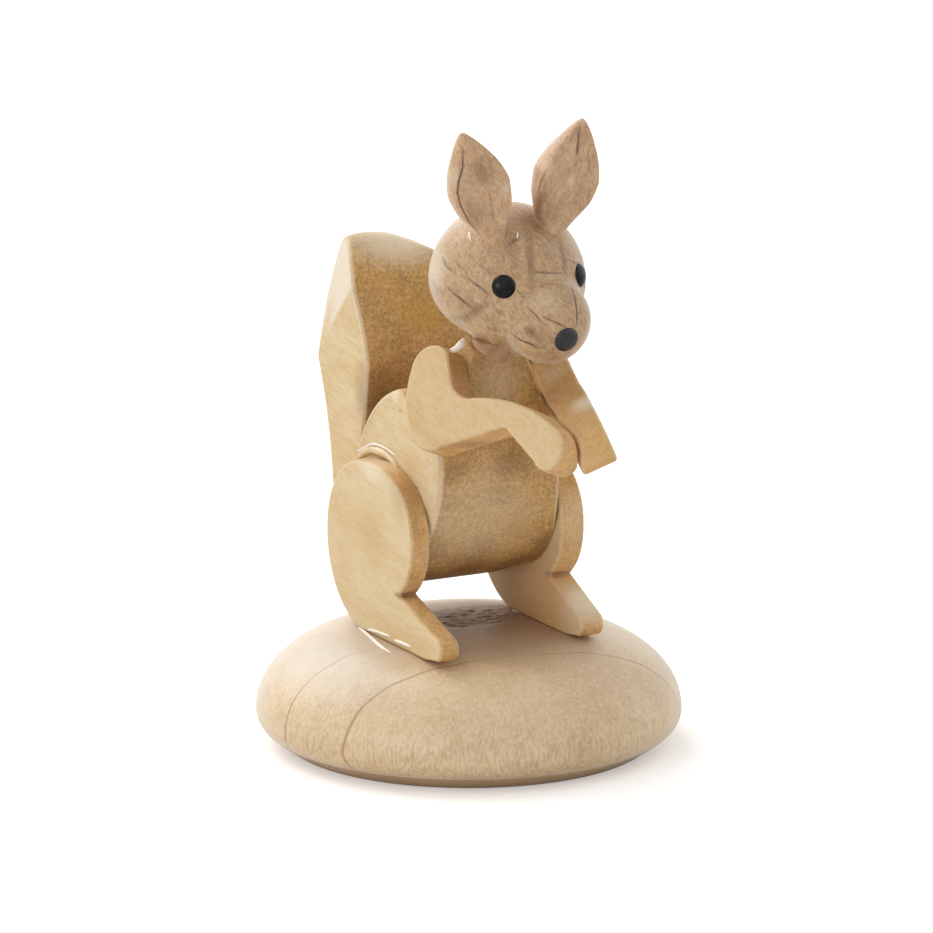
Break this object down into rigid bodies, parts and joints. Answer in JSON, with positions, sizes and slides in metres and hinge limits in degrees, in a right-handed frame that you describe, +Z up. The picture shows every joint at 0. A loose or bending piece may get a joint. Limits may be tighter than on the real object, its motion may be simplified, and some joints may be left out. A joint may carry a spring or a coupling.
{
  "type": "squirrel figurine",
  "caption": "Small wooden squirrel with sawn body and tail, plate arms and legs, a turned ball head with pointed ears and bead eyes, standing on a turned domed base.",
  "frame": {"origin": "centre of the base's underside, where it stands", "axes": "+Z up, -Y the way the animal faces, +X the animal's left"},
  "size_m": [0.0404, 0.0432, 0.062],
  "materials": {
    "base_wood": "waxed, fine sanded",
    "body_wood": "sawn and lightly sanded, with clear glue at the joints",
    "head_wood": "fine sanded, dark grain lines",
    "black_bead": "glossy"
  },
  "bodies": {
    "root": {"base": "base_wood", "body_with_tail": "body_wood", "left_leg": "body_wood", "right_leg": "body_wood", "left_arm": "body_wood", "right_arm": "body_wood", "head": "head_wood", "left_ear": "head_wood", "right_ear": "head_wood", "left_eye": "black_bead", "right_eye": "black_bead", "nose": "black_bead", "neck_dowel": "body_wood"}
  },
  "joints": []
}
